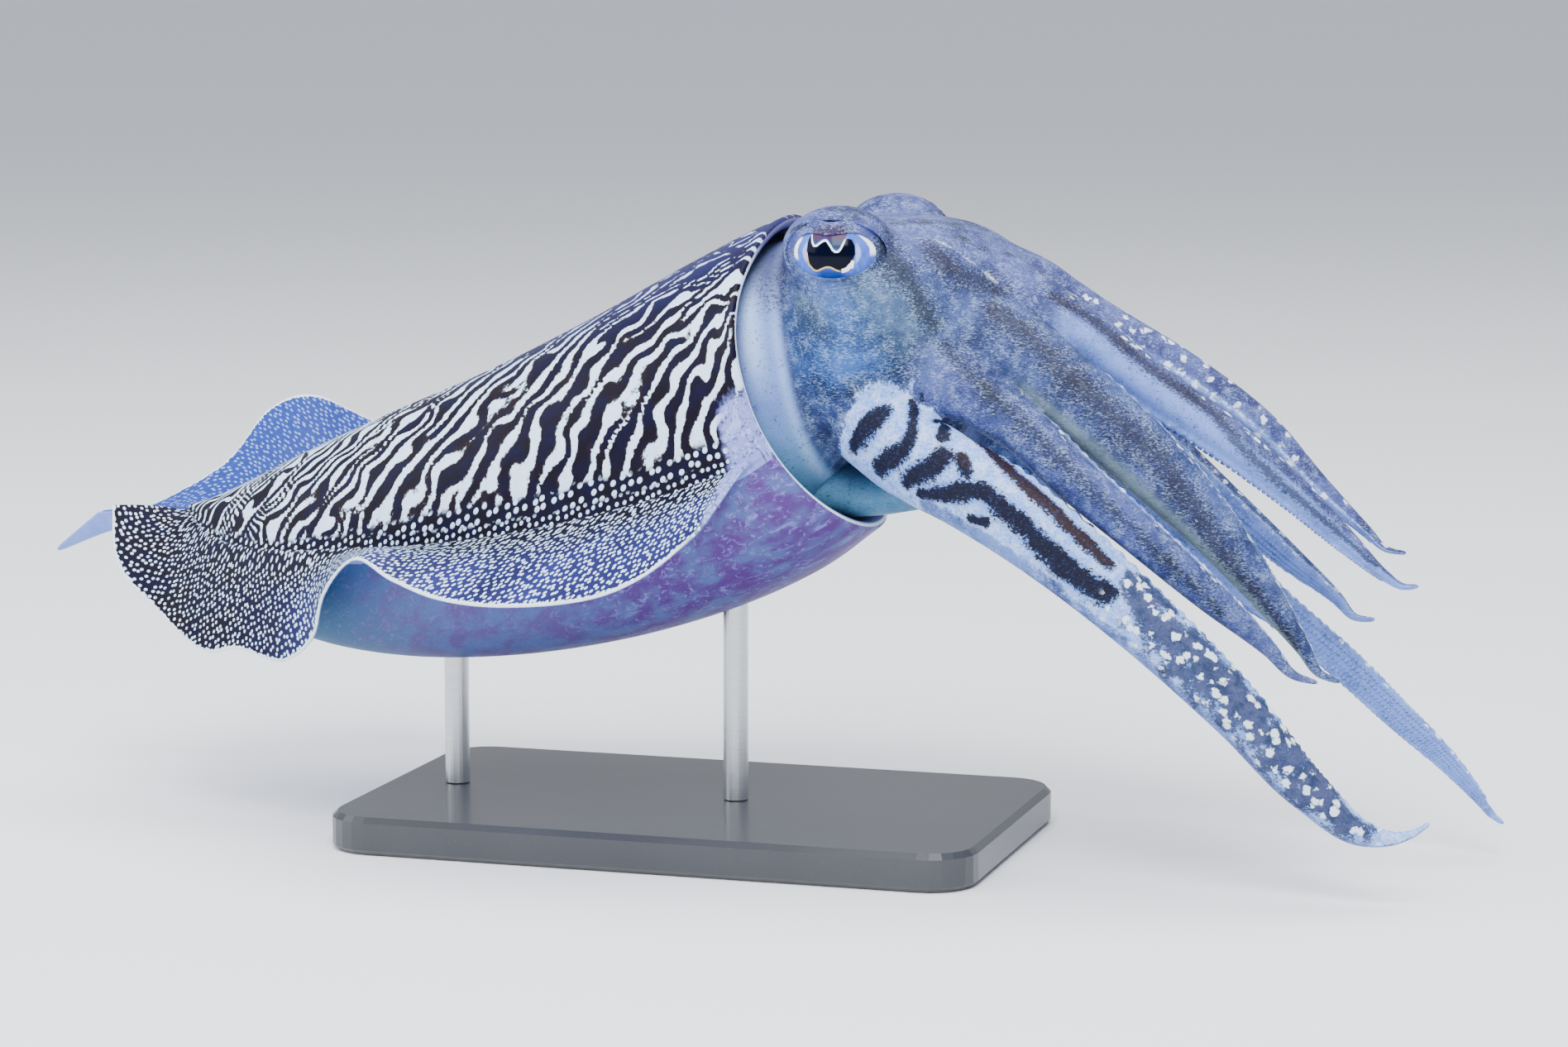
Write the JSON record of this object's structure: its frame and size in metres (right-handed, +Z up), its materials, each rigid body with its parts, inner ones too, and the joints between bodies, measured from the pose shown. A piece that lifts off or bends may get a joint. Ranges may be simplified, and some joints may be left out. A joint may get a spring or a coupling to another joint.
{
  "type": "common cuttlefish display model",
  "caption": "Life-size cuttlefish in a swimming pose, arms let down, striped mantle and waving fins, on a flat base with upright rods.",
  "frame": {"origin": "middle of the underside of the whole model's box, on the surface that the stand's base rests on", "axes": "+X from the animal's tail to its head, +Y to its left, +Z up"},
  "size_m": [0.433, 0.152, 0.185],
  "materials": {
    "mantle_skin": "satin",
    "fin_skin": "satin",
    "pale_skin": "satin",
    "head_skin": "satin",
    "arm_skin": "satin",
    "eye": "gloss",
    "beak": "gloss",
    "stand_lacquer": "satin lacquer",
    "stand_steel": "brushed"
  },
  "bodies": {
    "root": {"mantle": "mantle_skin", "fin_right": "fin_skin", "fin_left": "fin_skin", "neck": "pale_skin", "funnel": "pale_skin", "mouth": "pale_skin", "head": "head_skin", "eye_right": "eye", "eye_left": "eye", "beak": "beak", "stand_base": "stand_lacquer", "stand_rod_1": "stand_steel", "stand_rod_2": "stand_steel", "arm_r1_base": "arm_skin", "arm_r1_tip": "arm_skin", "arm_r2_base": "arm_skin", "arm_r2_tip": "arm_skin", "arm_r3_base": "arm_skin", "arm_r3_tip": "arm_skin", "arm_r4_base": "arm_skin", "arm_r4_tip": "arm_skin", "arm_l1_base": "arm_skin", "arm_l1_tip": "arm_skin", "arm_l2_base": "arm_skin", "arm_l2_tip": "arm_skin", "arm_l3_base": "arm_skin", "arm_l3_tip": "arm_skin", "arm_l4_base": "arm_skin", "arm_l4_tip": "arm_skin"}
  },
  "joints": []
}
